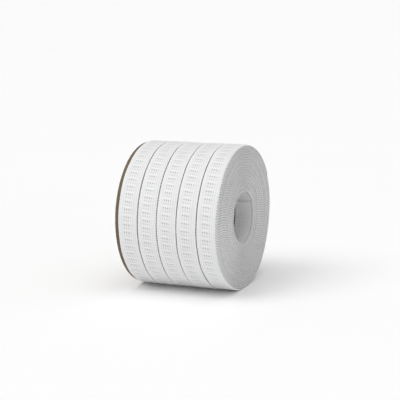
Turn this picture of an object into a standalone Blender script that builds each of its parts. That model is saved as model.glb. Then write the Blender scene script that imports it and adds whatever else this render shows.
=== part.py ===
"""A roll of white woven elastic: one long strip wound in five bands that lie side by side, against a round
disc of brown board that closes the roll's left end.

Metres, +Z up. The roll's axis lies along X and its front faces -Y. The origin is on the surface that the roll
stands on, under the middle of its length.
"""

import math
from collections import namedtuple

import bmesh
import bpy

# The strip: how thick it is once wound, and how often it goes round in each band
STRIP_THICKNESS = 0.0010
TURNS = 29
OUTER_RADIUS = 0.0445
BORE_RADIUS = OUTER_RADIUS - TURNS * STRIP_THICKNESS

# The bands, one row each from the disc to the open end. A band's rise is how much prouder it was wound.
Band = namedtuple("Band", "width rise")
BANDS = (
    Band(width=0.01287, rise=0.00000),
    Band(width=0.01255, rise=0.00008),
    Band(width=0.01270, rise=-0.00004),
    Band(width=0.01295, rise=0.00006),
    Band(width=0.01243, rise=-0.00004),
)
CROWN = 0.00010
SELVEDGE_ROUND = 0.00090
SELVEDGE_SHOULDER = 0.00035
SHOULDER_DROP = 0.00025
GROOVE_DEPTH = STRIP_THICKNESS
RIM_DROP = 0.00060

# The open end face: how far the turns stand in from the rim's plane, at each share of the way to the bore
Inset = namedtuple("Inset", "share depth")
OPEN_FACE = (
    Inset(share=0.14, depth=0.00035),
    Inset(share=0.31, depth=0.00012),
    Inset(share=0.52, depth=0.00045),
    Inset(share=0.76, depth=0.00020),
)

# The outer turns wander a little along the axis, most of all at the open end
SWAY = 0.00035
SWAY_WAVES = 3

# The roll settles on a flat spot, and the board disc just clears the surface
FLAT_DEPTH = 0.0007
AXIS_HEIGHT = OUTER_RADIUS - FLAT_DEPTH
DISC_CLEARANCE = 0.0001
DISC_RADIUS = AXIS_HEIGHT - DISC_CLEARANCE
DISC_THICKNESS = 0.0021
DISC_EDGE_BEVEL = 0.0002
DISC_GAP = 0.0003

SEGMENTS = 96
SHARP_ANGLE = math.radians(40)

ROLL_LENGTH = sum(band.width for band in BANDS)
OVERALL_LENGTH = DISC_THICKNESS + DISC_GAP + ROLL_LENGTH + SWAY
DISC_FACE_X = -OVERALL_LENGTH / 2
ROLL_LEFT_X = DISC_FACE_X + DISC_THICKNESS + DISC_GAP
ROLL_RIGHT_X = ROLL_LEFT_X + ROLL_LENGTH


def clear_scene():
    """Takes every object out of the file, so that only the roll is left in it."""
    for thing in list(bpy.data.objects):
        bpy.data.objects.remove(thing, do_unlink=True)


def finish(name, colour, roughness):
    """A plain Principled material."""
    material = bpy.data.materials.new(name)
    material.use_nodes = True
    shader = material.node_tree.nodes["Principled BSDF"]
    shader.inputs["Base Color"].default_value = (*colour, 1.0)
    shader.inputs["Roughness"].default_value = roughness
    shader.inputs["Metallic"].default_value = 0.0
    return material


def band_section(band, left, is_first, is_last):
    """(x, radius) over one band's outer turn, from its left selvedge to its right one."""
    right = left + band.width
    top = OUTER_RADIUS + band.rise
    section = [
        (left + SELVEDGE_SHOULDER, top - SHOULDER_DROP),
        (left + SELVEDGE_ROUND, top),
        ((left + right) / 2, top + CROWN),
        (right - SELVEDGE_ROUND, top),
        (right - SELVEDGE_SHOULDER, top - SHOULDER_DROP),
    ]
    if is_first:
        section.insert(0, (left, OUTER_RADIUS - RIM_DROP))
    section.append((right, OUTER_RADIUS - (RIM_DROP if is_last else GROOVE_DEPTH)))
    return section


def roll_section():
    """(x, radius) right round the roll's cross-section: the bands, the open end face, the bore, the disc's end."""
    section = []
    left = ROLL_LEFT_X
    for index, band in enumerate(BANDS):
        section += band_section(band, left, index == 0, index == len(BANDS) - 1)
        left += band.width
    build = OUTER_RADIUS - BORE_RADIUS
    section += [(ROLL_RIGHT_X - row.depth, OUTER_RADIUS - row.share * build) for row in OPEN_FACE]
    section += [
        (ROLL_RIGHT_X - SELVEDGE_SHOULDER, BORE_RADIUS + SELVEDGE_SHOULDER),
        (ROLL_RIGHT_X - SELVEDGE_ROUND, BORE_RADIUS),
        (ROLL_LEFT_X + SELVEDGE_SHOULDER, BORE_RADIUS),
        (ROLL_LEFT_X, BORE_RADIUS + SELVEDGE_SHOULDER),
    ]
    return section


def disc_section():
    """(x, radius) round the board disc's cross-section, its outer edges lightly rubbed."""
    left = DISC_FACE_X
    right = DISC_FACE_X + DISC_THICKNESS
    return [
        (left, BORE_RADIUS),
        (left, DISC_RADIUS - DISC_EDGE_BEVEL),
        (left + DISC_EDGE_BEVEL, DISC_RADIUS),
        (right - DISC_EDGE_BEVEL, DISC_RADIUS),
        (right, DISC_RADIUS - DISC_EDGE_BEVEL),
        (right, BORE_RADIUS),
    ]


def spun(section):
    """The section, a closed loop of (x, radius), spun once round the X axis."""
    mesh = bmesh.new()
    loop = [mesh.verts.new((x, 0.0, -radius)) for x, radius in section]
    edges = [mesh.edges.new((loop[i - 1], loop[i])) for i in range(len(loop))]
    bmesh.ops.spin(
        mesh,
        geom=loop + edges,
        axis=(1, 0, 0),
        cent=(0, 0, 0),
        angle=math.tau,
        steps=SEGMENTS,
        use_merge=True,
    )
    bmesh.ops.recalc_face_normals(mesh, faces=mesh.faces)
    return mesh


def settle(mesh):
    """Sways the outer turns along the axis, and presses the roll flat where it stands."""
    for vert in mesh.verts:
        along = (vert.co.x - ROLL_LEFT_X) / ROLL_LENGTH
        radius = math.hypot(vert.co.y, vert.co.z)
        outward = (radius - BORE_RADIUS) / (OUTER_RADIUS - BORE_RADIUS)
        angle = math.atan2(vert.co.z, -vert.co.y)
        vert.co.x += SWAY * along * outward * math.sin(SWAY_WAVES * angle)
        vert.co.z = max(vert.co.z, -AXIS_HEIGHT)


def place(name, mesh, material):
    """Turns the mesh into a named object, smooth shaded, with its axis at its height."""
    data = bpy.data.meshes.new(name)
    mesh.to_mesh(data)
    mesh.free()
    data.materials.append(material)
    data.shade_smooth()
    data.set_sharp_from_angle(angle=SHARP_ANGLE)
    piece = bpy.data.objects.new(name, data)
    piece.location = (0.0, 0.0, AXIS_HEIGHT)
    bpy.context.scene.collection.objects.link(piece)
    return piece


def build_roll():
    """The wound elastic, as one solid of its five bands."""
    mesh = spun(roll_section())
    settle(mesh)
    return place("elastic_roll", mesh, finish("white_elastic", (0.80, 0.80, 0.81), 0.85))


def build_disc():
    """The round board disc at the roll's left end, with a hole as wide as the roll's bore."""
    mesh = spun(disc_section())
    return place("end_disc", mesh, finish("brown_board", (0.30, 0.23, 0.17), 0.90))


clear_scene()
build_roll()
build_disc()
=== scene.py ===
"""The roll of white woven elastic, dressed for its picture.

One ribbed strip is wound in five bands that lie side by side. Its turns show as a spiral on the open end,
a disc of brown board closes the other end, and the strip's cut end lies flat on the back of the fifth band.
Sizes are in metres, except on the strip's own face, where the weave is drawn in millimetres.
"""

import logging
import math
from dataclasses import dataclass
from enum import Enum
from functools import partial, reduce
from typing import NamedTuple

import bpy
import numpy as np
from mathutils import Matrix, Vector

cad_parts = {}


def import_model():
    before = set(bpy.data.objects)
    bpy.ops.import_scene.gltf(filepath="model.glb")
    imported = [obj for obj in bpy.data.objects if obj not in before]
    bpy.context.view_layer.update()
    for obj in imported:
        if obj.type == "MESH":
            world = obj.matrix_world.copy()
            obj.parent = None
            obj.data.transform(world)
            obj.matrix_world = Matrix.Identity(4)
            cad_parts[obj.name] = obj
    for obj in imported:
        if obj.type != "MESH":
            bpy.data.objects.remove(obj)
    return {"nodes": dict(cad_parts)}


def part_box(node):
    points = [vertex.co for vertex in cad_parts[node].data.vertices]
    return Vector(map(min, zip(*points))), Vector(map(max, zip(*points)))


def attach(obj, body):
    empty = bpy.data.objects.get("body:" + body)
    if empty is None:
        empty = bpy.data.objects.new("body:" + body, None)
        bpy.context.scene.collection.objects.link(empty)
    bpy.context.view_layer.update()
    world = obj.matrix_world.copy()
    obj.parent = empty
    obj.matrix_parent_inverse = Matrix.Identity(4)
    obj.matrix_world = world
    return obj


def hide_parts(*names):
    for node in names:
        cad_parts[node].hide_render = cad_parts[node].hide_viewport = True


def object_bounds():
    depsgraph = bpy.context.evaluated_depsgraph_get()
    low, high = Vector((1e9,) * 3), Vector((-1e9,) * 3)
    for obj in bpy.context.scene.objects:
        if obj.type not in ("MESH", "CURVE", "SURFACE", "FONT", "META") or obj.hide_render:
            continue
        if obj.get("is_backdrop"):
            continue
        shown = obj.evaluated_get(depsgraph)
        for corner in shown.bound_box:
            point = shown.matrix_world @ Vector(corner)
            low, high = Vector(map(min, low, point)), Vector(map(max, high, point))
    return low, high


MM = 0.001
BODY = "root"
STRIP_MAP = "strip"
BAKE_MAP = "OFBake"

# The sockets of a node that blends two colours: its share, its two colours and its result
BLEND_SOCKETS = (0, 6, 7)
BLEND_RESULT = 2
# How many waves make up an uneven line along the strip
RAMBLE_WAVES = 7
# The order of a quad's corners where the section is swept up the front instead of down it
SWEPT_UP = [0, 3, 2, 1]
# How many quads high each side wall of a band is: down to the wall's top, and on to the bore
WALL_QUADS = 2

Socket = bpy.types.NodeSocket
Feed = Socket | float
Tone = tuple[float, float, float, float]
Span = np.ndarray | float

log = logging.getLogger("elastic_roll")


class Wear(Enum):
    """Which of a piece's materials a face wears."""

    FACE = 0
    EDGE = 1


@dataclass(frozen=True)
class Stray:
    """A smooth uneven line: its seed, about how far it strays, and its fewest and most waves in a turn."""

    seed: int
    size: float
    slow: float
    quick: float


def bell(distance: np.ndarray, width: float) -> np.ndarray:
    """1 where the distance is nothing, falling smoothly to 0 beyond the width."""
    return np.exp(-((distance / width) ** 2))


def eased(value: np.ndarray, low: float, high: float) -> np.ndarray:
    """0 below low, 1 above high, and a smooth step between them."""
    share = np.clip((value - low) / (high - low), 0.0, 1.0)
    return share * share * (3.0 - 2.0 * share)


def off_whole(steps: np.ndarray) -> np.ndarray:
    """How far each number is from the nearest whole one."""
    return steps - np.round(steps)


def waves(place: np.ndarray, rates: np.ndarray, size: float, draw: np.random.Generator) -> np.ndarray:
    """The total of waves with random heights and starts.

    Args:
        place: where it is read, in radians.
        rates: how many of each wave lie in a turn.
        size: about how far the total strays.
        draw: what the heights and the starts are drawn from.

    Returns:
        One value for each place.
    """
    heights = draw.normal(size=len(rates)) * size / math.sqrt(len(rates))
    starts = draw.uniform(0.0, math.tau, len(rates))
    return (heights * np.cos(place[..., None] * rates + starts)).sum(-1)


def wander(angle: np.ndarray, stray: Stray, number: int = 0) -> np.ndarray:
    """A smooth uneven line that closes on itself after a turn. Its number tells several such lines apart."""
    draw = np.random.default_rng(stray.seed + number)
    return waves(angle, np.arange(stray.slow, stray.quick + 1), stray.size, draw)


def ramble(turn: np.ndarray, stray: Stray) -> np.ndarray:
    """A smooth uneven line along the strip, which differs from one turn to the next.

    Args:
        turn: where to read it, in turns from the outside.
        stray: the line.

    Returns:
        One value for each turn.
    """
    draw = np.random.default_rng(stray.seed)
    rates = draw.uniform(stray.slow, stray.quick, RAMBLE_WAVES)
    return waves(math.tau * turn, rates, stray.size, draw)


def swept_quads(rows: int, loop: int) -> np.ndarray:
    """The quads of a closed section that is swept right round.

    Args:
        rows: how many times the section stands round the roll.
        loop: how many points it has.

    Returns:
        The corners of each quad, row by row.
    """
    row, column = np.indices((rows, loop))
    after, beside = (row + 1) % rows, (column + 1) % loop
    corners = [row * loop + column, after * loop + column, after * loop + beside, row * loop + beside]
    return np.stack(corners, -1).reshape(-1, 4)


def quad_places(u: np.ndarray, v: np.ndarray, step: Span, rise: Span) -> np.ndarray:
    """Where swept quads' corners lie on a map, if each starts at u and v, a step long and a rise high."""
    corners = ((u, v), (u + step, v), (u + step, v + rise), (u, v + rise))
    return np.stack([np.stack(corner, -1) for corner in corners], -2).reshape(-1, 4, 2)


def put(name: str, data: bpy.types.ID) -> bpy.types.Object:
    """Puts something into the scene.

    Args:
        name: the object's name.
        data: its mesh, lamp or camera.

    Returns:
        The new object.
    """
    made = bpy.data.objects.new(name, data)
    bpy.context.scene.collection.objects.link(made)
    return made


@dataclass(frozen=True)
class Ramp:
    """A smooth step in a finish: where it starts and ends, and the number after it and before it."""

    low: float
    high: float
    after: float
    before: float = 0.0


@dataclass(frozen=True)
class Grain:
    """Soft noise in a finish.

    It gives how many blotches lie in one unit, how many finer layers they have and how much shorter they are
    along each axis. Its bend says how the place strays first: in how many blotches a unit, and how far.
    """

    scale: float = 1.0
    detail: float = 2.0
    stretch: tuple[float, float, float] | None = None
    bend: tuple[float, float] | None = None


class NodeBench:
    """Lays out and joins the shader nodes of one material."""

    def __init__(self, name: str) -> None:
        """Starts a material with its shader.

        Args:
            name: the material's name.
        """
        self.material = bpy.data.materials.new(name)
        self.material.use_nodes = True
        self.tree = self.material.node_tree
        self.shader = self.tree.nodes["Principled BSDF"]

    def node(self, kind: str, *values: Feed | tuple, **settings: object) -> bpy.types.Node:
        """Adds a node.

        Args:
            kind: the node's type.
            values: what its first sockets are fed, in their order.
            settings: its own settings, by name.

        Returns:
            The new node.
        """
        made = self.tree.nodes.new(kind)
        for setting, value in settings.items():
            setattr(made, setting, value)
        for socket, value in zip(made.inputs, values):
            self.feed(socket, value)
        return made

    def feed(self, socket: Socket, value: Feed | tuple) -> None:
        """Joins a socket to another one, or sets it.

        Args:
            socket: the socket that is fed.
            value: the socket that feeds it, or a number or colour.
        """
        if isinstance(value, Socket):
            self.tree.links.new(value, socket)
        else:
            socket.default_value = value

    def sum(self, operation: str, first: Feed, second: Feed = 0.0) -> Socket:
        """One sum, by its name, on one or two numbers."""
        return self.node("ShaderNodeMath", first, second, operation=operation).outputs[0]

    def moved(self, operation: str, *places: Socket | tuple) -> Socket:
        """A place that one sum on places gives."""
        return self.node("ShaderNodeVectorMath", *places, operation=operation).outputs[0]

    def times(self, *values: Feed) -> Socket:
        """The product of several numbers."""
        return reduce(partial(self.sum, "MULTIPLY"), values)

    def plus(self, *values: Feed) -> Socket:
        """The total of several numbers."""
        return reduce(partial(self.sum, "ADD"), values)

    def bell(self, distance: Feed, width: float) -> Socket:
        """1 where the distance is nothing, falling smoothly to 0 beyond the width."""
        share = self.sum("DIVIDE", distance, width)
        return self.sum("EXPONENT", self.times(share, share, -1.0))

    def off_nearest(self, place: Feed, pitch: float, start: float = 0.0) -> Socket:
        """How far a place is from the nearest of a row of evenly spaced lines, one of them at the start."""
        steps = self.sum("DIVIDE", self.sum("SUBTRACT", place, start), pitch)
        return self.times(self.sum("SUBTRACT", steps, self.sum("ROUND", steps)), pitch)

    def lines(self, place: Feed, pitch: float, width: float, start: float = 0.0) -> Socket:
        """1 on each of a row of evenly spaced lines, falling smoothly to 0 beyond the width."""
        return self.bell(self.off_nearest(place, pitch, start), width)

    def wave(self, place: Feed, pitch: float) -> Socket:
        """A cosine wave of this pitch."""
        return self.sum("COSINE", self.times(place, math.tau / pitch))

    def step(self, value: Feed, ramp: Ramp) -> Socket:
        """The number that a smooth step gives for this value."""
        numbers = (value, ramp.low, ramp.high, ramp.before, ramp.after)
        return self.node("ShaderNodeMapRange", *numbers, interpolation_type="SMOOTHSTEP").outputs[0]

    def noise(self, place: Socket, grain: Grain) -> Socket:
        """Soft noise about 0.5.

        Args:
            place: where it is read.
            grain: the noise.

        Returns:
            The socket of the noise.
        """
        if grain.bend:
            scale, amount = grain.bend
            swirl = self.node("ShaderNodeTexNoise", place)
            swirl.inputs["Scale"].default_value = scale
            place = self.moved("MULTIPLY_ADD", swirl.outputs["Color"], (amount,) * 3, place)
        if grain.stretch:
            place = self.moved("MULTIPLY", place, grain.stretch)
        made = self.node("ShaderNodeTexNoise", place)
        made.inputs["Scale"].default_value = grain.scale
        made.inputs["Detail"].default_value = grain.detail
        return made.outputs["Fac"]

    def parts(self, place: Socket) -> tuple[Socket, ...]:
        """The place's three axes, each as a number."""
        return tuple(self.node("ShaderNodeSeparateXYZ", place).outputs)

    def strip_place(self) -> Socket:
        """The place on the strip, in millimetres across it and along it."""
        return self.node("ShaderNodeUVMap", uv_map=STRIP_MAP).outputs[0]

    def object_place(self) -> Socket:
        """The place on the object, in metres."""
        return self.node("ShaderNodeTexCoord").outputs["Object"]

    def colour(self, ground: Tone, *layers: tuple[Feed, Tone]) -> None:
        """Gives the shader its colour, as a ground under layers.

        Args:
            ground: the colour at the bottom.
            layers: how strongly each layer shows, and its colour.
        """
        colour = ground
        for layer, tone in layers:
            made = self.node("ShaderNodeMix", data_type="RGBA")
            for index, value in zip(BLEND_SOCKETS, (layer, colour, tone)):
                self.feed(made.inputs[index], value)
            colour = made.outputs[BLEND_RESULT]
        self.feed(self.shader.inputs["Base Color"], colour)

    def relief(self, *parts: tuple[Socket, float]) -> None:
        """Gives the shader its fine relief.

        Args:
            parts: each part of it, and how high that stands, in millimetres.
        """
        made = self.node("ShaderNodeBump")
        made.inputs["Strength"].default_value = 1.0
        made.inputs["Distance"].default_value = MM
        self.feed(made.inputs["Height"], self.plus(*(self.times(part, height) for part, height in parts)))
        self.feed(self.shader.inputs["Normal"], made.outputs[0])

    def finished(self, gloss: dict[str, float]) -> bpy.types.Material:
        """Sets the shader's own numbers.

        Args:
            gloss: each number, by its socket's name.

        Returns:
            The finished material.
        """
        for socket, number in gloss.items():
            self.shader.inputs[socket].default_value = number
        return self.material


@dataclass(frozen=True)
class Weave:
    """The strip's weave, in millimetres from its left selvedge, and in repeats along it.

    Each repeat has a strong row of pits at its start, a weak one nearly halfway and then a row of raised
    floats. The pits lie in the valleys between the lengthwise ribs.
    """

    width: float = 12.70
    repeat: float = 4.66
    rib_pitch: float = 1.46
    first_pit: float = 4.00
    weak_row: float = 0.44
    float_row: float = 0.71
    weak_share: float = 0.60
    knobs: int = 3
    valley_width: float = 0.34
    pit_width: float = 0.31
    pit_length: float = 0.48
    float_width: float = 0.46
    float_length: float = 0.55
    rib_height: float = 0.110
    rib_level: float = 0.35
    pit_depth: float = 0.17
    float_height: float = 0.045
    knob_height: float = 0.075
    knob_reach: float = 0.95
    loop_breadth: float = 1.5
    cross_rib: float = 0.012
    plain_cross_rib: float = 0.030
    pits_from: tuple[float, float] = (3.1, 3.7)
    pits_to: tuple[float, float] = (7.4, 9.4)
    faint_pits: float = 0.16
    ribs_from: tuple[float, float] = (7.4, 8.8)
    faint_ribs: float = 0.80

    def off_valley(self, across: np.ndarray) -> np.ndarray:
        """How far each place is from the nearest valley."""
        return off_whole((across - self.first_pit) / self.rib_pitch) * self.rib_pitch

    def row(self, repeats: np.ndarray, at: float, length: float) -> np.ndarray:
        """1 on each row of a kind, falling smoothly to 0 beyond its length."""
        return bell(off_whole(repeats - at) * self.repeat, length)

    def pit_zone(self, across: np.ndarray) -> np.ndarray:
        """How strong the pits are across the strip."""
        strong = eased(across, *self.pits_from) - eased(across, *self.pits_to)
        return self.faint_pits + (1.0 - self.faint_pits) * strong

    def rib_zone(self, across: np.ndarray) -> np.ndarray:
        """How strong the lengthwise ribs are across the strip."""
        return self.faint_ribs + (1.0 - self.faint_ribs) * eased(across, *self.ribs_from)

    def knob(self, repeats: np.ndarray) -> np.ndarray:
        """The knobs that the crosswise yarn makes where it turns back, from -1 to 1."""
        return np.cos(math.tau * self.knobs * repeats)

    def loop(self, repeats: np.ndarray) -> np.ndarray:
        """The same knobs as they stand out past a selvedge: broad loops and narrow notches, from -1 to 1."""
        return 1.0 - 2.0 * ((1.0 - self.knob(repeats)) / 2.0) ** self.loop_breadth

    def height(self, across: np.ndarray, repeats: np.ndarray, width: float, boldness: float) -> np.ndarray:
        """The relief over the strip's face.

        Args:
            across: millimetres from the left selvedge, one for each column.
            repeats: repeats along the strip, one for each row.
            width: the strip's width there, in millimetres.
            boldness: how deep the pits are for their kind.

        Returns:
            Rows by columns of heights, in millimetres.
        """
        rows = repeats[:, None]
        off = self.off_valley(across)
        zone = self.pit_zone(across)
        ribs = self.rib_height * self.rib_zone(across) * (self.rib_level - bell(off, self.valley_width))
        strong = self.row(rows, 0.0, self.pit_length)
        weak = self.row(rows, self.weak_row, self.pit_length) * self.weak_share
        pits = self.pit_depth * boldness * zone * bell(off, self.pit_width) * (strong + weak)
        raised = bell(off, self.float_width) * self.row(rows, self.float_row, self.float_length)
        floats = self.float_height * zone * raised
        edge = np.minimum(across, width - across)
        plain = self.plain_cross_rib * (1.0 - zone)
        crossed = self.cross_rib + plain + self.knob_height * bell(edge, self.knob_reach)
        return ribs - pits + floats + crossed * self.knob(rows)


@dataclass(frozen=True)
class FaceFinish:
    """The white woven face of the strip."""

    weave: Weave
    white: Tone = (0.815, 0.815, 0.820, 1.0)
    shaded: Tone = (0.71, 0.71, 0.718, 1.0)
    # Pits: partly the grey rubber that shows through, partly painted shadow in the pits
    pit_shadow_and_rubber_tone: Tone = (0.29, 0.29, 0.305, 1.0)
    # Valleys between the ribs: painted shade
    valley_shade_tone: Tone = (0.46, 0.46, 0.475, 1.0)
    # Row grooves that join the pits: painted shade
    row_groove_shade_tone: Tone = (0.55, 0.55, 0.565, 1.0)
    # Raised floats: a painted highlight; the same lighter tone on the selvedges is their own
    float_highlight_and_selvedge_tone: Tone = (0.90, 0.90, 0.905, 1.0)
    clouds: Grain = Grain(scale=0.09)
    cloud_shade: Ramp = Ramp(0.35, 0.75, after=0.30)
    fibres: Grain = Grain(detail=3.0, stretch=(5.0, 1.6, 1.0))
    fibre_shade: Ramp = Ramp(0.45, 0.80, after=0.22)
    fibre_height: float = 0.020
    pit_shade: Ramp = Ramp(0.05, 0.95, after=1.0)
    pit_height: float = -0.09
    row_share: float = 0.12
    float_highlight_share: float = 0.8
    float_height: float = 0.03
    valley_narrowing: float = 0.6
    valley_shade_share: float = 0.42
    valley_height: float = -0.02
    selvedge_reach: float = 1.0
    selvedge_share: float = 0.7
    yarn: float = 0.3883
    yarn_lean: float = 0.55
    yarn_lag: float = 0.5
    yarn_gap: float = 0.18
    yarn_fade: float = 0.8
    yarn_shade: Ramp = Ramp(-0.9, 0.3, after=0.0, before=0.28)
    yarn_height: float = 0.016
    roughness: float = 0.82
    sheen: float = 0.18
    sheen_roughness: float = 0.45

    def yarns(self, bench: NodeBench, across: Socket, along: Socket, off: Socket) -> Socket:
        """The crosswise yarns, which lean one way on one side of a valley and the other way on the other.

        Args:
            bench: the material's bench.
            across: millimetres across the strip.
            along: millimetres along it.
            off: how far the place is from the nearest valley.

        Returns:
            The socket of their waves, from -1 to 1.
        """
        ribs = bench.sum("DIVIDE", bench.sum("SUBTRACT", across, self.weave.first_pit), self.weave.rib_pitch)
        lean = bench.times(bench.sum("ABSOLUTE", off), self.yarn_lean)
        lag = bench.times(bench.sum("FLOOR", ribs), self.yarn_lag * self.yarn)
        body = bench.sum("SUBTRACT", 1.0, bench.times(bench.bell(off, self.yarn_gap), self.yarn_fade))
        return bench.times(bench.wave(bench.plus(along, lean, lag), self.yarn), body)

    def material(self) -> bpy.types.Material:
        """Builds the finish.

        Returns:
            The material.
        """
        weave = self.weave
        bench = NodeBench("white_weave")
        place = bench.strip_place()
        across, along, _ = bench.parts(place)
        off = bench.off_nearest(across, weave.rib_pitch, weave.first_pit)
        weak = bench.lines(along, weave.repeat, weave.pit_length, weave.repeat * weave.weak_row)
        rows = bench.lines(along, weave.repeat, weave.pit_length)
        rows = bench.plus(rows, bench.times(weak, weave.weak_share))
        gone = bench.step(across, Ramp(*weave.pits_to, after=weave.faint_pits, before=1.0))
        shown = bench.step(across, Ramp(*weave.pits_from, after=1.0, before=weave.faint_pits))
        zone = bench.times(shown, gone)
        pits = bench.times(bench.bell(off, weave.pit_width), rows, zone)
        raised = bench.lines(along, weave.repeat, weave.float_length, weave.repeat * weave.float_row)
        floats = bench.times(bench.bell(off, weave.float_width), raised, zone)
        ribs = bench.step(across, Ramp(*weave.ribs_from, after=1.0, before=weave.faint_ribs))
        valleys = bench.times(bench.bell(off, self.valley_narrowing * weave.valley_width), ribs)
        yarn = self.yarns(bench, across, along, off)
        near_left = bench.bell(across, self.selvedge_reach)
        near_right = bench.bell(bench.sum("SUBTRACT", across, weave.width), self.selvedge_reach)
        selvedges = bench.sum("MINIMUM", bench.plus(near_left, near_right), 1.0)
        fibre = bench.noise(place, self.fibres)
        bench.colour(
            self.white,
            (bench.step(bench.noise(place, self.clouds), self.cloud_shade), self.shaded),
            # Painted shade in the valleys between the lengthwise ribs
            (bench.times(valleys, self.valley_shade_share), self.valley_shade_tone),
            # Painted shade along the rows of pits, in the grooves that join them
            (bench.times(rows, zone, self.row_share), self.row_groove_shade_tone),
            # A painted highlight on the raised floats
            (bench.times(floats, self.float_highlight_share), self.float_highlight_and_selvedge_tone),
            # The selvedges' own lighter tone
            (bench.times(selvedges, self.selvedge_share), self.float_highlight_and_selvedge_tone),
            (bench.step(yarn, self.yarn_shade), self.shaded),
            # Painted shadow in the pits, with the grey of the rubber that shows through them
            (bench.step(pits, self.pit_shade), self.pit_shadow_and_rubber_tone),
            (bench.step(fibre, self.fibre_shade), self.shaded),
        )
        bench.relief(
            (pits, self.pit_height),
            (floats, self.float_height),
            (valleys, self.valley_height),
            (yarn, self.yarn_height),
            (fibre, self.fibre_height),
        )
        gloss = {"Sheen Weight": self.sheen, "Sheen Roughness": self.sheen_roughness}
        return bench.finished({"Roughness": self.roughness, **gloss})


@dataclass(frozen=True)
class EdgeFinish:
    """The strip's selvedges, as they show edge on over the open end."""

    turn: float
    knob_pitch: float
    white: Tone = (0.87, 0.87, 0.878, 1.0)
    shaded: Tone = (0.71, 0.71, 0.72, 1.0)
    # Notches between the selvedge's knobs: painted shadow
    notch_shadow_tone: Tone = (0.24, 0.24, 0.25, 1.0)
    # Gaps between the turns' edges: painted shadow
    turn_gap_shadow_tone: Tone = (0.17, 0.17, 0.185, 1.0)
    turn_gap_shadow_width: float = 0.15
    turn_gap_shadow_share: float = 0.8
    knob_gap: float = 0.31
    notch_shadow_share: float = 0.85
    notch_height: float = -0.05
    patches: Grain = Grain(scale=0.45, detail=1.0)
    patchy: Ramp = Ramp(0.35, 0.65, after=1.0, before=0.6)
    clouds: Grain = Grain(scale=0.12)
    cloud_shade: Ramp = Ramp(0.35, 0.75, after=0.45)
    fibres: Grain = Grain(detail=3.0, stretch=(4.0, 2.4, 1.0))
    fibre_shade: Ramp = Ramp(0.45, 0.80, after=0.3)
    fibre_height: float = 0.03
    ply: float = 0.30
    ply_slant: float = 0.6
    ply_height: float = 0.012
    roughness: float = 0.86
    sheen: float = 0.15

    def material(self) -> bpy.types.Material:
        """Builds the finish.

        Returns:
            The material.
        """
        bench = NodeBench("white_selvedge")
        place = bench.strip_place()
        across, along, _ = bench.parts(place)
        # Painted shadow in the gaps between the turns, on lines a turn apart
        turn_gap_shadow = bench.lines(across, self.turn, self.turn_gap_shadow_width)
        uneven = bench.step(bench.noise(place, self.patches), self.patchy)
        notch = bench.lines(along, self.knob_pitch, self.knob_gap, self.knob_pitch / 2.0)
        notch = bench.times(notch, uneven)
        slanted = bench.wave(bench.plus(along, bench.times(across, self.ply_slant)), self.ply)
        fibre = bench.noise(place, self.fibres)
        bench.colour(
            self.white,
            (bench.step(bench.noise(place, self.clouds), self.cloud_shade), self.shaded),
            # Painted shadow in the notches between the knobs, stronger in random patches
            (bench.times(notch, self.notch_shadow_share), self.notch_shadow_tone),
            # Painted shadow in the gaps between the turns
            (bench.times(turn_gap_shadow, self.turn_gap_shadow_share), self.turn_gap_shadow_tone),
            (bench.step(fibre, self.fibre_shade), self.shaded),
        )
        bench.relief((notch, self.notch_height), (slanted, self.ply_height), (fibre, self.fibre_height))
        return bench.finished({"Roughness": self.roughness, "Sheen Weight": self.sheen})


@dataclass(frozen=True)
class BoardFinish:
    """Grey-brown board: flattened fibres on its faces, and its plies where it was cut."""

    base: Tone = (0.176, 0.132, 0.088, 1.0)
    dark: Tone = (0.112, 0.082, 0.053, 1.0)
    pale: Tone = (0.250, 0.194, 0.136, 1.0)
    clouds: Grain = Grain(scale=38.0, detail=3.0)
    cloud_shade: Ramp = Ramp(0.30, 0.72, after=0.55)
    cloud_height: float = 0.10
    fibres: Grain = Grain(detail=3.0, stretch=(900.0, 300.0, 2600.0), bend=(130.0, 0.0045))
    fibre_shade: Ramp = Ramp(0.52, 0.72, after=0.65)
    fibre_height: float = 0.05
    crossed: Grain = Grain(detail=3.0, stretch=(900.0, 2400.0, 340.0), bend=(90.0, 0.0070))
    crossed_shade: Ramp = Ramp(0.55, 0.75, after=0.55)
    crossed_height: float = 0.04
    specks: Grain = Grain(detail=1.0, stretch=(700.0, 700.0, 1100.0))
    speck_shade: Ramp = Ramp(0.66, 0.74, after=0.8)
    ply: float = 0.00052
    ply_stray: float = 0.0004
    ply_shade: Ramp = Ramp(0.2, 1.0, after=0.45)
    ply_height: float = 0.02
    roughness: float = 0.92

    def material(self) -> bpy.types.Material:
        """Builds the finish.

        Returns:
            The material.
        """
        bench = NodeBench("brown_board")
        place = bench.object_place()
        depth, _, _ = bench.parts(place)
        fibres, crossed, cloud, specks = (
            bench.noise(place, grain) for grain in (self.fibres, self.crossed, self.clouds, self.specks)
        )
        plies = bench.wave(bench.plus(depth, bench.times(cloud, self.ply_stray)), self.ply)
        bench.colour(
            self.base,
            (bench.step(cloud, self.cloud_shade), self.dark),
            (bench.step(fibres, self.fibre_shade), self.pale),
            (bench.step(crossed, self.crossed_shade), self.dark),
            (bench.step(specks, self.speck_shade), self.dark),
            (bench.step(plies, self.ply_shade), self.dark),
        )
        bench.relief(
            (fibres, self.fibre_height),
            (crossed, self.crossed_height),
            (cloud, self.cloud_height),
            (plies, self.ply_height),
        )
        return bench.finished({"Roughness": self.roughness})


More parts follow.
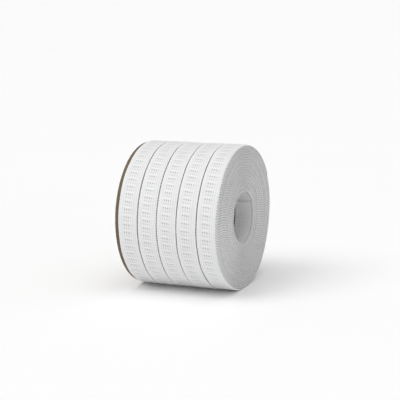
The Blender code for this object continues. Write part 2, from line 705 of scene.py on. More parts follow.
@dataclass(frozen=True)
class FloorFinish:
    """The plain pale floor."""

    pale: Tone = (0.99, 0.99, 0.99, 1.0)
    shaded: Tone = (0.98, 0.98, 0.98, 1.0)
    clouds: Grain = Grain(scale=4.0, detail=1.0)
    cloud_shade: Ramp = Ramp(0.3, 0.7, after=0.4)
    roughness: float = 0.6
    gloss: float = 0.2

    def material(self) -> bpy.types.Material:
        """Builds the finish.

        Returns:
            The material.
        """
        bench = NodeBench("pale_floor")
        cloud = bench.noise(bench.object_place(), self.clouds)
        bench.colour(self.pale, (bench.step(cloud, self.cloud_shade), self.shaded))
        return bench.finished({"Roughness": self.roughness, "Specular IOR Level": self.gloss})


@dataclass
class Skin:
    """A closed mesh in the making.

    The strip and bake maps hold a place for each corner of each face, in the order of the faces.
    """

    points: np.ndarray
    faces: list[list[int]]
    strip: np.ndarray
    bake: np.ndarray
    wear: np.ndarray

    def made(self, name: str, materials: list[bpy.types.Material], sharp: float) -> bpy.types.Object:
        """Turns the skin into an object in the scene.

        Args:
            name: the object's name.
            materials: its materials, in the order of Wear.
            sharp: the angle between two faces from which their edge shows, in degrees.

        Returns:
            The new object.
        """
        mesh = bpy.data.meshes.new(name)
        mesh.from_pydata(self.points.tolist(), [], self.faces)
        for material in materials:
            mesh.materials.append(material)
        mesh.polygons.foreach_set("material_index", self.wear.astype(np.int32))
        for title, places in ((STRIP_MAP, self.strip), (BAKE_MAP, self.bake)):
            layer = mesh.uv_layers.new(name=title)
            layer.uv.foreach_set("vector", places.astype(np.float32).ravel())
        mesh.shade_smooth()
        mesh.set_sharp_from_angle(angle=math.radians(sharp))
        mesh.update()
        return put(name, mesh)


@dataclass(frozen=True)
class RollShape:
    """The wound roll's main sizes, which its solids have too."""

    outer_radius: float = 0.0445
    bore_radius: float = 0.0155
    axis_height: float = 0.0438
    left: float = -0.030725
    length: float = 0.0635
    turns: int = 29
    turn: float = 0.00099
    sway: float = 0.00035
    sway_waves: int = 3
    repeats_round: int = 60

    @property
    def right(self) -> float:
        """Where the open end's rim stands."""
        return self.left + self.length

    def placed(self, x: np.ndarray, radius: np.ndarray, angle: np.ndarray) -> np.ndarray:
        """Points in the part's frame, with the roll's sway and its flat spot.

        Args:
            x: where each point lies along the axis.
            radius: how far it is from the axis.
            angle: how far it is round the roll, in radians up from the front.

        Returns:
            The points.
        """
        along = (x - self.left) / self.length
        outward = (radius - self.bore_radius) / (self.outer_radius - self.bore_radius)
        swayed = x + self.sway * along * outward * np.sin(self.sway_waves * angle)
        height = np.maximum(self.axis_height + radius * np.sin(angle), 0.0)
        return np.stack([swayed, -radius * np.cos(angle), height], -1)


@dataclass(frozen=True)
class BandMeasure:
    """One band as it was wound.

    It gives the band's size, how many repeats of the weave go round it and where they start, and for its
    left and its right selvedge how bold the knobs are, how far it stands in and how wide its shoulder is.
    Its sidle is how far to the right the weave lies between the two selvedges.
    """

    width: float
    rise: float
    repeats: int
    first_row: float
    knobs: tuple[float, float]
    gaps: tuple[float, float]
    shoulders: tuple[float, float] = (0.00070, 0.00070)
    boldness: float = 1.0
    lead: float = 0.0
    sidle: float = 0.0


class SidePoint(NamedTuple):
    """A point of a band's section that doesn't lie on its outer face.

    It gives x, the share of the way from the outer face to the bore, how far out the point is moved from
    there, and its share of the rows' skew.
    """

    x: float
    share: float
    out: float
    skew: float


@dataclass
class Band:
    """One band of turns: its outer face, its side walls and its face in the bore, as one closed solid."""

    shape: RollShape
    weave: Weave
    number: int
    left: float
    measure: BandMeasure
    is_last: bool = False
    steps_per_repeat: int = 18
    ribs_split: int = 5
    selvedge_width: float = 0.80
    selvedge_columns: tuple[float, ...] = (0.0, 0.09, 0.22, 0.40, 0.62)
    knob_root: float = 0.45
    least_gap: float = 0.00003
    crown: float = 0.00010
    shoulder_drop: float = 0.00055
    shoulder_curve: float = 2.2
    slant: float = 0.085
    row_share: float = 0.47
    edge_stray: Stray = Stray(10, 0.00005, 4, 16)
    swell: Stray = Stray(30, 0.00004, 3, 14)
    lean: Stray = Stray(40, 0.00003, 5, 18)
    wall_top: float = 0.0010
    bore_corner: tuple[tuple[float, float], ...] = ((0.0, 0.00035), (0.0002, 0.0001))
    bore_margin: float = 0.0006
    bore_columns: int = 8
    rim_proud: float = 0.00032
    rim_columns: int = 3
    rim_fold: tuple[tuple[float, float], ...] = ((0.00008, -0.00076), (-0.00012, -0.00096))
    rim_knobs: tuple[float, float] = (1.0, 0.6)
    rim_depth: float = 0.00103
    rim_back: float = 0.00125
    end_lap: float = 0.00015
    cut_depths: tuple[float, ...] = (0.75, 0.25, 0.25, 0.75)
    folds: int = 4
    fold_height: float = 0.2
    margin: float = 0.004
    sharp: float = 60.0

    @property
    def width(self) -> float:
        """The band's width."""
        return self.measure.width

    @property
    def top(self) -> float:
        """The band's radius over its selvedges."""
        return self.shape.outer_radius + self.measure.rise

    @property
    def start(self) -> float:
        """The angle at which the band's rows are counted from, in radians up from the front."""
        return math.radians(self.measure.first_row) + self.measure.lead * math.tau / self.measure.repeats

    @property
    def outer_quads(self) -> int:
        """How many quads wide the outer face is."""
        return len(self.across()) - 1

    @property
    def rim(self) -> slice:
        """The quads of the last band's open rim, from the outer face round to its back wall."""
        fold = self.outer_quads + len(self.rim_fold)
        return slice(self.outer_quads + 1 - self.rim_columns, fold + WALL_QUADS)

    def repeats(self, turned: np.ndarray) -> np.ndarray:
        """How many repeats of the weave each row is from the first row of pits."""
        return turned * self.measure.repeats / math.tau - self.measure.lead

    def across(self) -> np.ndarray:
        """Where the outer face's columns lie, in millimetres from the left selvedge.

        Returns:
            The places, closest together over the selvedges, and with one in each valley.
        """
        width = self.width / MM
        rim = np.array(self.selvedge_columns)
        step = self.weave.rib_pitch / self.ribs_split
        first = self.weave.first_pit
        first = first - step * math.floor((first - self.selvedge_width) / step)
        inner = np.arange(first, width - self.selvedge_width, step)
        return np.concatenate([rim, inner, width - rim[::-1]])

    def drop(self, across: np.ndarray) -> np.ndarray:
        """How far the face falls away over the selvedges.

        Args:
            across: millimetres from the left selvedge.

        Returns:
            The drops, in metres.
        """
        width = self.width / MM
        left, right = self.measure.shoulders
        edge = np.clip(np.minimum(across * MM / left, (width - across) * MM / right), 0.0, 1.0)
        middle = np.clip(1.0 - (2.0 * across / width - 1.0) ** 2, 0.0, 1.0)
        return self.shoulder_drop * (1.0 - edge) ** self.shoulder_curve - self.crown * middle

    def angles(self) -> np.ndarray:
        """How far each row is from the band's start.

        Returns:
            The angles, in radians down the front.
        """
        rows = self.measure.repeats * self.steps_per_repeat
        turned = np.arange(rows + int(self.is_last)) * math.tau / rows
        if self.is_last:
            turned[-1] -= self.end_lap / self.shape.outer_radius
        return turned

    def outer_face(self, turned: np.ndarray) -> tuple[np.ndarray, np.ndarray, np.ndarray]:
        """The outer face.

        Args:
            turned: how far each row is from the band's start.

        Returns:
            Rows by columns of x, of radius and of angle.
        """
        across = self.across()
        repeats = self.repeats(turned)
        share = across * MM / self.width
        left_gap, right_gap = self.measure.gaps
        skew = self.slant * (across - self.row_share * self.width / MM) * MM / self.top
        angle = self.start - turned[:, None] - skew

        # Across: the columns, with the knobs out past the selvedges, and the stray of each selvedge
        edge_knob = self.weave.loop(repeats)[:, None] * self.weave.knob_height * MM
        near_left = bell(across, self.knob_root) * self.measure.knobs[0]
        near_right = bell(across - self.width / MM, self.knob_root) * self.measure.knobs[1]
        x = across * MM + self.measure.sidle * np.sin(math.pi * np.clip(share, 0.0, 1.0))
        x = np.clip(x, left_gap, self.width - right_gap)
        nearest = min(self.least_gap, left_gap - self.weave.knob_height * MM)
        furthest = self.width + (self.rim_proud if self.is_last else -self.least_gap)
        x = self.left + np.clip(x + edge_knob * (near_right - near_left), nearest, furthest)
        x = x + wander(angle, self.edge_stray, self.number) * (1.0 - share)
        x = x + wander(angle, self.edge_stray, self.number + 1) * share

        # Outward: the crown and the shoulders, the weave's relief, and how unevenly the band was wound
        height = self.weave.height(across, repeats, self.width / MM, self.measure.boldness) * MM
        radius = self.top - self.drop(across) + height
        radius = radius + wander(angle, self.swell, self.number)
        radius = radius + wander(angle, self.lean, self.number) * (2.0 * share - 1.0)
        return x, radius, angle

    def inside(self) -> np.ndarray:
        """The rest of the section, from the right rim round through the bore to the left rim.

        Returns:
            A row for each SidePoint.
        """
        left = self.left + self.measure.gaps[0]
        right = self.left + self.width - self.measure.gaps[1]
        if self.is_last:
            # Only the outermost turn reaches the rim. The wall under it stands back, behind the open end
            points = [SidePoint(right + ahead, 0.0, out, 1.0) for ahead, out in self.rim_fold]
            right = self.left + self.width - self.rim_back
            points += [SidePoint(right, 0.0, -self.rim_depth, 1.0), SidePoint(right, 1.0, 0.0, 1.0)]
            middle = np.linspace(right, left + self.bore_margin, self.bore_columns)[1:]
        else:
            points = [SidePoint(right, 0.0, -self.wall_top, 1.0)]
            points += [SidePoint(right - back, 1.0, out, 1.0) for back, out in self.bore_corner]
            middle = np.linspace(right - self.bore_margin, left + self.bore_margin, self.bore_columns)
        points += [SidePoint(x, 1.0, 0.0, (x - left) / (right - left)) for x in middle]
        points += [SidePoint(left + back, 1.0, out, 0.0) for back, out in self.bore_corner[::-1]]
        points += [SidePoint(left, 0.0, -self.wall_top, 0.0)]
        return np.array(points)

    def skin(self) -> Skin:
        """Builds the band's closed mesh.

        Returns:
            The skin.
        """
        shape = self.shape
        turned = self.angles()
        x, radius, angle = self.outer_face(turned)
        rows = len(turned)
        side_x, share, out, skew = self.inside().T
        bore, spiral = shape.bore_radius, 0.0
        side_x = np.tile(side_x, (rows, 1))
        if self.is_last:
            bore = self.top - shape.turns * shape.turn
            spiral = ((self.start / math.tau - turned / math.tau) * shape.turn)[:, None]
            knob = self.weave.loop(self.repeats(turned))[:, None] * self.weave.knob_height * MM
            side_x[:, : len(self.rim_knobs)] += knob * self.measure.knobs[1] * np.array(self.rim_knobs)
        side_radius = np.tile(self.top + (bore - self.top) * share + out, (rows, 1))
        span = self.slant * self.width / self.top
        side_angle = self.start - turned[:, None] - span * (skew - self.row_share)
        x = np.concatenate([x, side_x], 1)
        radius = np.concatenate([radius, side_radius], 1) + spiral
        angle = np.concatenate([angle, side_angle], 1)
        loop = x.shape[1]
        return Skin(
            points=shape.placed(x, radius, angle).reshape(-1, 3),
            faces=swept_quads(rows, loop).tolist(),
            strip=self.strip_places(turned, loop),
            bake=self.bake_places(rows, loop),
            wear=self.worn(rows, loop),
        )

    def worn(self, rows: int, loop: int) -> np.ndarray:
        """Which material each quad wears: the selvedges' own on the walls, the open rim and the cut end.

        Args:
            rows: how many rows the mesh has.
            loop: how many points its section has.

        Returns:
            A number of Wear for each quad.
        """
        last = self.outer_quads
        worn = np.full((rows, loop), Wear.FACE.value)
        worn[:, last : last + WALL_QUADS] = Wear.EDGE.value
        worn[:, -WALL_QUADS:] = Wear.EDGE.value
        if self.is_last:
            worn[:, self.rim] = Wear.EDGE.value
            worn[-1, :last] = Wear.EDGE.value
        return worn.ravel()

    def strip_places(self, turned: np.ndarray, loop: int) -> np.ndarray:
        """Where each corner lies on the strip, in millimetres.

        Args:
            turned: how far each row is from the band's start.
            loop: how many points the section has.

        Returns:
            A place for each corner.
        """
        across = self.across()
        _, _, out, skew = self.inside().T
        last = self.outer_quads
        turn, shoulder = self.shape.turn / MM, self.shoulder_drop / MM
        inner = self.width / MM * skew
        start = np.concatenate([across, inner])
        end = np.concatenate([across[1:], inner, across[:1]])
        # The side walls run from the shoulder to the turn's line of the selvedges' finish and stay on it, so
        # they carry its painted gap shadow down to the bore
        start[last : last + WALL_QUADS] = (shoulder, turn)
        end[last : last + WALL_QUADS] = turn
        start[-WALL_QUADS:] = turn
        end[-WALL_QUADS:] = (turn, shoulder)
        # The last band's open rim runs down to the same line, so the wall behind it takes painted gap
        # shadow, and its notches painted notch shadow
        if self.is_last:
            wall_top = len(self.rim_fold)
            over = self.drop(across[-self.rim_columns :])
            down = np.concatenate([over, -out[: wall_top + 1], [-out[wall_top]]]) / MM
            start[self.rim] = down[:-1]
            end[self.rim] = down[1:]
        along = (self.repeats(turned) * self.weave.repeat)[:, None]
        after = along + along[1] - along[0]
        corners = ((start, along), (start, after), (end, after), (end, along))
        places = np.stack([np.stack(np.broadcast_arrays(*corner), -1) for corner in corners], 2)
        if self.is_last:
            # The cut end shows each rib's end as a knob, with painted notch shadow between them in the
            # valleys
            rib = (across - self.weave.first_pit) / self.weave.rib_pitch + 0.5
            cut = places[-1, :last]
            cut[:, :, 0] = np.array(self.cut_depths) * turn
            sides = np.stack([rib[:-1], rib[:-1], rib[1:], rib[1:]], -1)
            cut[:, :, 1] = sides * self.weave.repeat / self.weave.knobs
        return places.reshape(-1, 2)

    def bake_places(self, rows: int, loop: int) -> np.ndarray:
        """Where each corner lies on a square map: the outer face in folded rows, the rest above them.

        Args:
            rows: how many rows the mesh has.
            loop: how many points its section has.

        Returns:
            A place for each corner.
        """
        last = self.outer_quads
        row, column = np.indices((rows, loop))
        is_outer = column < last
        long = math.ceil(rows / self.folds)
        high = loop - last
        local = np.where(is_outer, (row % long) / long, row / rows)
        step = np.where(is_outer, 1.0 / long, 1.0 / rows)
        spread = np.where(is_outer, column / last, (column - last) / high)
        rise = np.where(is_outer, 1.0 / last, 1.0 / high)
        floor = np.where(is_outer, row // long * self.fold_height, self.folds * self.fold_height)
        room = 1.0 - 2.0 * self.margin
        tall = self.fold_height - 2.0 * self.margin
        u = self.margin + room * local
        v = floor + self.margin + tall * spread
        return quad_places(u, v, room * step, tall * rise)

    def build(self, materials: list[bpy.types.Material]) -> bpy.types.Object:
        """Makes the band, attaches it to the roll's body and hides the model's elastic_roll part.

        Args:
            materials: the strip's face and its selvedge.

        Returns:
            The band.
        """
        made = self.skin().made(f"band_{self.number}", materials, self.sharp)
        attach(made, BODY)
        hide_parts("elastic_roll")
        return made


class Inset(NamedTuple):
    """How far the open end stands in from the rim's plane, at a share of the way to the bore."""

    share: float
    depth: float


class EdgeColumn(NamedTuple):
    """A column of points on a turn's edge: where it lies in the turn, and its shares of hollow and knob."""

    share: float
    hollow: float
    knob: float


@dataclass
class OpenEnd:
    """The edges of the turns under the outermost one, as one spiral over the roll's open end."""

    shape: RollShape
    weave: Weave
    top: float
    start: float
    skew: float
    repeats: float
    steps: int = 780
    profile: tuple[EdgeColumn, ...] = (
        EdgeColumn(share=0.00, hollow=1.00, knob=0.25),
        EdgeColumn(share=0.20, hollow=0.22, knob=1.00),
        EdgeColumn(share=0.50, hollow=0.00, knob=1.00),
        EdgeColumn(share=0.80, hollow=0.22, knob=1.00),
    )
    insets: tuple[Inset, ...] = (
        Inset(share=0.00, depth=-0.00018),
        Inset(share=0.14, depth=-0.00006),
        Inset(share=0.31, depth=0.00014),
        Inset(share=0.52, depth=0.00040),
        Inset(share=0.76, depth=0.00020),
        Inset(share=1.00, depth=0.00030),
    )
    back: float = 0.00120
    gap_depth: float = 0.00050
    knob: float = 0.00020
    knob_lean: float = 0.22
    knob_middle: float = 0.5
    slip: float = 0.23
    knob_drift: Stray = Stray(73, 0.16, 0.3, 4.3)
    drift_from: tuple[float, float] = (1.0, 1.5)
    ring_drift: Stray = Stray(72, 0.00007, 0.6, 5.3)
    ring_from: tuple[float, float] = (1.0, 2.5)
    ring_to: tuple[float, float] = (1.5, 0.1)
    turn_stray: Stray = Stray(71, 0.00013, 3, 3)
    spare_turns: int = 3
    swing_share: float = 0.5
    map_margin: float = 0.0006
    map_back: float = 0.30
    sharp: float = 60.0

    @property
    def columns(self) -> int:
        """How many columns of points each turn has."""
        return len(self.profile)

    @property
    def first_radius(self) -> float:
        """The radius from which the spiral winds in."""
        return self.top + self.start / math.tau * self.shape.turn

    def stray(self, turn: np.ndarray, angle: np.ndarray) -> np.ndarray:
        """How far each turn stands in, beyond the face's own hollows.

        Args:
            turn: turns from the outside, with the share of the present one.
            angle: radians round the roll.

        Returns:
            The distances, in metres.
        """
        size, rate = self.turn_stray.size, self.turn_stray.slow
        draw = np.random.default_rng(self.turn_stray.seed)
        count = self.shape.turns + self.spare_turns
        jumps = draw.normal(size=count) * size
        starts = draw.uniform(0.0, math.tau, count)
        low = np.clip(np.floor(turn).astype(int), 0, count - 2)
        share = turn - low
        mixed = jumps[low] * (1.0 - share) + jumps[low + 1] * share
        before, after = (np.cos(rate * angle + starts[low + step]) for step in (0, 1))
        return mixed + self.swing_share * size * (before * (1.0 - share) + after * share)

    def knobs_passed(self, whole: np.ndarray) -> np.ndarray:
        """How many knobs lie between the strip's outer end and each place, with the turns' slip and drift.

        Args:
            whole: turns from the outside, the same over a turn's whole edge.

        Returns:
            The numbers of knobs.
        """
        turn, first = self.shape.turn, self.first_radius
        run = math.tau * (first * whole - turn * whole**2 / 2.0)
        outer_run = math.tau * (first - turn / 2.0)
        passed = self.repeats + (run / outer_run - 1.0) * self.shape.repeats_round
        knobs = passed * self.weave.knobs - self.slip * (whole - 1.0)
        return knobs + eased(whole, *self.drift_from) * ramble(whole, self.knob_drift)

    def skin(self) -> Skin:
        """Builds the closed mesh of the turns' edges.

        Returns:
            The skin.
        """
        shape = self.shape
        # Each layer's place: its share of a turn's edge, and how many turns it lies from the outside
        count = (shape.turns - 1) * self.columns
        layers = np.arange(count + 1)
        share, hollow, knob_share = np.array(self.profile)[layers % self.columns].T
        turned = np.arange(self.steps) * math.tau / self.steps
        total = 1.0 + (layers // self.columns + share)[None, :] + turned[:, None] / math.tau
        whole = total - share
        angle = np.broadcast_to((self.start - self.skew - turned)[:, None], total.shape)

        # The turns' radii, which drift a little between the outermost turn and the bore
        here, after = (ramble(whole + step, self.ring_drift) for step in (0.0, 1.0))
        inner_from, inner_to = (shape.turns - turns for turns in self.ring_to)
        held = eased(total, *self.ring_from) * (1.0 - eased(total, inner_from, inner_to))
        radius = self.first_radius - total * shape.turn + held * (here + (after - here) * share)

        # How far in each point stands: the face's hollows, the gaps, the knobs and each turn's stray
        knobs = self.knobs_passed(whole)
        leaning = knobs + self.knob_lean * (share - self.knob_middle)
        bumps = knob_share * self.knob * (1.0 - np.cos(math.tau * leaning)) / 2.0
        inset_at, inset = np.array(self.insets).T
        face = np.interp(total / shape.turns, inset_at, inset)
        x = shape.right - face - hollow * self.gap_depth - bumps - self.stray(whole, angle)

        # The face, and a back that closes it
        front = shape.placed(x, radius, angle).reshape(-1, 3)
        behind = np.full(self.steps, shape.right - self.back)
        backs = [shape.placed(behind, radius[:, end], angle[:, 0]) for end in (0, -1)]
        points = np.concatenate([front, *backs])
        faces = self.faces(count)
        corners = np.array([corner for face in faces for corner in face])
        return Skin(
            points=points,
            faces=faces,
            strip=self.strip_places(corners, count, total, knobs),
            bake=self.bake_places(corners, points, len(front)),
            wear=np.full(len(faces), Wear.EDGE.value),
        )

    def faces(self, count: int) -> list[list[int]]:
        """The faces, with the last step joined to the first one a turn further in.

        Args:
            count: how many layers of quads lie between the outside and the bore.

        Returns:
            The corners of each face.
        """
        wide = count + 1
        steps, columns = self.steps, self.columns
        row, layer = np.indices((steps - 1, count))
        here, there = row * wide + layer, (row + 1) * wide + layer
        faces = np.stack([there, there + 1, here + 1, here], -1).reshape(-1, 4).tolist()
        # The seam, where the last step meets the first one a turn further in
        last = (steps - 1) * wide
        for layer in range(count - columns):
            faces.append([last + layer, columns + layer, columns + layer + 1, last + layer + 1])
        # The outer wall, the inner wall and the back, step by step, and then what closes them at the seam
        outer, inner = steps * wide, steps * wide + steps
        for row in range(steps - 1):
            faces.append([row * wide, outer + row, outer + row + 1, (row + 1) * wide])
            faces.append([row * wide + count, (row + 1) * wide + count, inner + row + 1, inner + row])
            faces.append([outer + row, inner + row, inner + row + 1, outer + row + 1])
        faces.append([outer + steps - 1, outer, *range(columns + 1), last])
        inner_end = [last + count - step for step in range(columns + 1)]
        faces.append([count, inner, inner + steps - 1, *inner_end])
        faces.append([outer, outer + steps - 1, inner + steps - 1, inner])
        return faces

    def strip_places(
        self, corners: np.ndarray, count: int, total: np.ndarray, knobs: np.ndarray
    ) -> np.ndarray:
        """Where each corner lies on the turns' edges, in millimetres across them and along them.

        Args:
            corners: the point at each corner.
            count: how many layers of quads lie between the outside and the bore.
            total: turns from the outside to each point of the face.
            knobs: knobs from the strip's outer end to each point of the face.

        Returns:
            A place for each corner.
        """
        turn = self.shape.turn
        # Across lands on the turn's line at each gap between turns, and along on the notches between knobs,
        # so the selvedges' finish paints shadow into both
        level = total * turn / MM - (np.arange(self.steps) / self.steps)[:, None] * turn / MM
        along = knobs * self.weave.repeat / self.weave.knobs
        front = np.stack([level, along], -1).reshape(-1, 2)
        places = np.concatenate([front, np.zeros((2 * self.steps, 2))])[corners]
        # The quads that join the last step to the first one meet it a turn further in
        joined = self.steps * count - self.columns
        quads = places[: 4 * joined].reshape(-1, 4, 2)
        quads[(self.steps - 1) * count :, 1:3, 0] -= turn / MM
        return places

    def bake_places(self, corners: np.ndarray, points: np.ndarray, front: int) -> np.ndarray:
        """Where each corner lies on a square map: the face as it is seen, with its back in the bore's place.

        Args:
            corners: the point at each corner.
            points: the mesh's points.
            front: how many of them lie on the face.

        Returns:
            A place for each corner.
        """
        span = 2.0 * (self.top + self.map_margin)
        flat = np.stack([points[:, 1] / span, (points[:, 2] - self.shape.axis_height) / span], -1)
        flat[front:] *= self.map_back
        return 0.5 + flat[corners]

    def build(self, materials: list[bpy.types.Material]) -> bpy.types.Object:
        """Makes the open end, attaches it to the roll's body and hides the model's elastic_roll part.

        Args:
            materials: the strip's face and its selvedge.

        Returns:
            The open end.
        """
        made = self.skin().made("open_end", materials, self.sharp)
        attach(made, BODY)
        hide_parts("elastic_roll")
        return made


@dataclass
class WoundRoll:
    """The elastic: five bands side by side, and the open end's spiral."""

    shape: RollShape
    weave: Weave = Weave()
    bands: tuple[BandMeasure, ...] = (
        BandMeasure(
            width=0.01287, rise=0.00000, repeats=60, first_row=180.92,
            knobs=(0.8, 0.8), gaps=(-0.00014, 0.00042), boldness=0.6, sidle=0.00022,
        ),
        BandMeasure(
            width=0.01255, rise=0.00008, repeats=61, first_row=182.44,
            knobs=(0.8, 2.6), gaps=(0.00038, 0.00034), boldness=0.7,
        ),
        BandMeasure(
            width=0.01270, rise=-0.00004, repeats=61, first_row=181.34,
            knobs=(2.4, 0.8), gaps=(0.00026, 0.00037), boldness=0.7,
        ),
        BandMeasure(
            width=0.01295, rise=0.00006, repeats=59, first_row=182.12,
            knobs=(0.8, 1.1), gaps=(0.00027, 0.00041),
        ),
        BandMeasure(
            width=0.01243, rise=-0.00004, repeats=57, first_row=151.07, lead=0.25,
            knobs=(0.9, 4.8), gaps=(0.00023, 0.00002), shoulders=(0.00070, 0.00110),
            boldness=1.2, sidle=0.00022,
        ),
    )

    def build(self) -> list[bpy.types.Object]:
        """Makes every piece of the elastic.

        Returns:
            The pieces.
        """
        face = FaceFinish(self.weave).material()
        edge = EdgeFinish(self.shape.turn / MM, self.weave.repeat / self.weave.knobs).material()
        pieces = []
        left = self.shape.left
        for number, measure in enumerate(self.bands, 1):
            band = Band(self.shape, self.weave, number, left, measure, is_last=number == len(self.bands))
            pieces.append(band.build([face, edge]))
            log.info("band %d: %d faces", number, len(pieces[-1].data.polygons))
            left += measure.width
        skew = band.slant * (1.0 - band.row_share) * band.width / band.top
        end = OpenEnd(self.shape, self.weave, band.top, band.start, skew, measure.repeats - measure.lead)
        pieces.append(end.build([face, edge]))
        log.info("open end: %d faces", len(pieces[-1].data.polygons))
        return pieces


@dataclass
class BoardDisc:
    """The round board that closes the roll's left end."""

    shape: RollShape
    steps: int = 480
    face_rings: int = 14
    face_margins: tuple[float, float] = (0.0004, 0.0009)
    rim_columns: int = 6
    hole_columns: int = 5
    corner: float = 0.00022
    rubbed: tuple[tuple[float, float], ...] = ((0.1, 1.0), (0.35, 0.35), (1.0, 0.0))
    hole_corner: float = 0.0002
    hole_rubbed: tuple[float, float] = (0.00005, 0.00015)
    rim_stray: Stray = Stray(5, 0.00005, 5, 60)
    rim_reach: float = 0.0004
    hole_stray: Stray = Stray(6, 0.00005, 4, 40)
    hole_reach: float = 0.0003
    sharp: float = 35.0

    def section(self, left: float, right: float, outer: float, bore: float) -> list[tuple[float, float]]:
        """The board's section, from the outer face round the rim and back along the inner face.

        Args:
            left: where its outer face stands.
            right: where its inner face stands.
            outer: its radius.
            bore: its hole's radius.

        Returns:
            x and radius of each point.
        """
        corner, cut = self.corner, self.hole_corner
        inmost, outmost = self.face_margins
        points = [(left, radius) for radius in np.linspace(bore + inmost, outer - outmost, self.face_rings)]
        points += [(left + into * corner, outer - under * corner) for into, under in self.rubbed]
        points += [(x, outer) for x in np.linspace(left + corner, right - corner, self.rim_columns)[1:-1]]
        points += [(right - corner, outer), (right, outer - corner)]
        points += [(right, bore + cut), (right - cut, bore)]
        points += [(x, bore) for x in np.linspace(right - cut, left + cut, self.hole_columns)[1:]]
        points += [(left + self.hole_rubbed[0], bore + self.hole_rubbed[1])]
        return points

    def skin(self) -> Skin:
        """Builds the disc's closed mesh inside its node's box.

        Returns:
            The skin.
        """
        low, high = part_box("end_disc")
        outer = (high.z - low.z) / 2.0
        axis = (high.z + low.z) / 2.0
        bore = self.shape.bore_radius
        x, radius = np.array(self.section(low.x, high.x, outer, bore)).T
        angle = np.arange(self.steps) * math.tau / self.steps
        rim = (wander(angle, self.rim_stray) - self.rim_stray.size)[:, None]
        hole = wander(angle, self.hole_stray)[:, None]
        at_rim, at_hole = radius > outer - self.rim_reach, radius < bore + self.hole_reach
        radius = radius + at_rim * rim + at_hole * hole
        y, z = -radius * np.cos(angle)[:, None], axis + radius * np.sin(angle)[:, None]
        points = np.stack([np.broadcast_to(x, radius.shape), y, z], -1)
        rows, loop = radius.shape
        row, column = np.indices((rows, loop))
        places = quad_places(row / rows, column / loop, 1.0 / rows, 1.0 / loop)[:, SWEPT_UP]
        faces = swept_quads(rows, loop)[:, SWEPT_UP].tolist()
        return Skin(
            points=points.reshape(-1, 3),
            faces=faces,
            strip=places,
            bake=places,
            wear=np.full(len(faces), Wear.FACE.value),
        )

    def build(self) -> bpy.types.Object:
        """Makes the disc without a bake map, attaches it to the roll's body and hides the model's end_disc
        part.

        Returns:
            The disc.
        """
        made = self.skin().made("board_disc", [BoardFinish().material()], self.sharp)
        made.data.uv_layers.remove(made.data.uv_layers[BAKE_MAP])
        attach(made, BODY)
        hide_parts("end_disc")
        return made


@dataclass(frozen=True)
class SoftLight:
    """A broad far-off lamp, which lights the whole floor alike."""

    name: str
    azimuth: float
    elevation: float
    spread: float
    strength: float

    def build(self, target: Vector) -> None:
        """Hangs the lamp.

        Args:
            target: what it points at.
        """
        lamp = bpy.data.lights.new(self.name, "SUN")
        lamp.angle = math.radians(self.spread)
        lamp.energy = math.pi * self.strength
        turn, lift = math.radians(self.azimuth), math.radians(self.elevation)
        away = Vector((math.sin(turn) * math.cos(lift), -math.cos(turn) * math.cos(lift), math.sin(lift)))
        made = put(self.name, lamp)
        made.location = target + away
        made.rotation_euler = (-away).to_track_quat("-Z", "Y").to_euler()


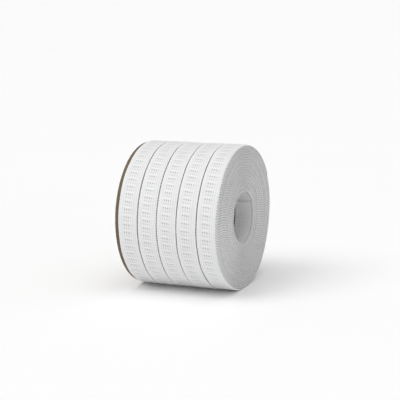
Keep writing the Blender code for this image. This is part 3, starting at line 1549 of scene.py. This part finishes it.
@dataclass
class Studio:
    """The pale floor, the soft light round the roll and the camera."""

    floor_radius: float = 30.0
    floor_steps: int = 96
    wall_light: float = 0.97
    sky_light: float = 0.44
    wall_top: tuple[float, float] = (0.05, 0.40)
    lights: tuple[SoftLight, ...] = (
        SoftLight("key_light", azimuth=-40.0, elevation=50.0, spread=35.0, strength=0.32),
        SoftLight("top_light", azimuth=20.0, elevation=80.0, spread=50.0, strength=0.31),
    )
    camera_place: tuple[float, float, float] = (0.32955, -0.73095, 0.21344)
    camera_yaw: float = 24.034
    camera_pitch: float = 11.33
    camera_roll: float = -1.22
    lens: float = 118.96
    sensor: float = 36.0

    def floor(self) -> None:
        """Lays the floor."""
        angle = np.arange(self.floor_steps) * math.tau / self.floor_steps
        rim = np.stack([np.cos(angle), np.sin(angle), np.zeros_like(angle)], -1) * self.floor_radius
        mesh = bpy.data.meshes.new("floor")
        mesh.from_pydata(rim.tolist(), [], [list(range(self.floor_steps))])
        mesh.materials.append(FloorFinish().material())
        made = put("floor", mesh)
        made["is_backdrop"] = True

    def surroundings(self) -> None:
        """Fills the room with even light and shows colours as they are."""
        scene = bpy.context.scene
        world = bpy.data.worlds.new("soft_room")
        world.use_nodes = True
        tree = world.node_tree
        direction = tree.nodes.new("ShaderNodeTexCoord")
        height = tree.nodes.new("ShaderNodeSeparateXYZ")
        fade = tree.nodes.new("ShaderNodeMapRange")
        fade.interpolation_type = "SMOOTHSTEP"
        for index, number in enumerate((*self.wall_top, self.wall_light, self.sky_light), 1):
            fade.inputs[index].default_value = number
        tree.links.new(direction.outputs["Generated"], height.inputs[0])
        tree.links.new(height.outputs["Z"], fade.inputs[0])
        tree.links.new(fade.outputs[0], tree.nodes["Background"].inputs["Color"])
        scene.world = world
        scene.view_settings.view_transform = "Standard"
        scene.view_settings.look = "None"

    def camera(self) -> None:
        """Sets the camera at the photograph's angle."""
        data = bpy.data.cameras.new("camera")
        data.lens = self.lens
        data.sensor_width = self.sensor
        made = put("camera", data)
        turn = Matrix.Rotation(math.radians(self.camera_yaw), 4, "Z")
        tip = Matrix.Rotation(math.radians(90.0 - self.camera_pitch), 4, "X")
        roll = Matrix.Rotation(math.radians(self.camera_roll), 4, "Z")
        made.matrix_world = Matrix.Translation(self.camera_place) @ turn @ tip @ roll
        bpy.context.scene.camera = made

    def build(self, target: Vector) -> None:
        """Builds the whole studio.

        Args:
            target: what the lamps point at.
        """
        self.floor()
        self.surroundings()
        for light in self.lights:
            light.build(target)
        self.camera()


def main() -> None:
    """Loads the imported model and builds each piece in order."""
    logging.basicConfig(level=logging.INFO, format="%(name)s: %(message)s")
    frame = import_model()
    cad_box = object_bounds()
    log.info("frame: %d nodes", len(frame["nodes"]))
    middle = (cad_box[0] + cad_box[1]) / 2.0
    Studio().build(middle)
    log.info("studio: floor, lamps and camera")
    shape = RollShape()
    WoundRoll(shape).build()
    disc = BoardDisc(shape).build()
    log.info("board disc: %d faces", len(disc.data.polygons))


if __name__ == "__main__":
    main()
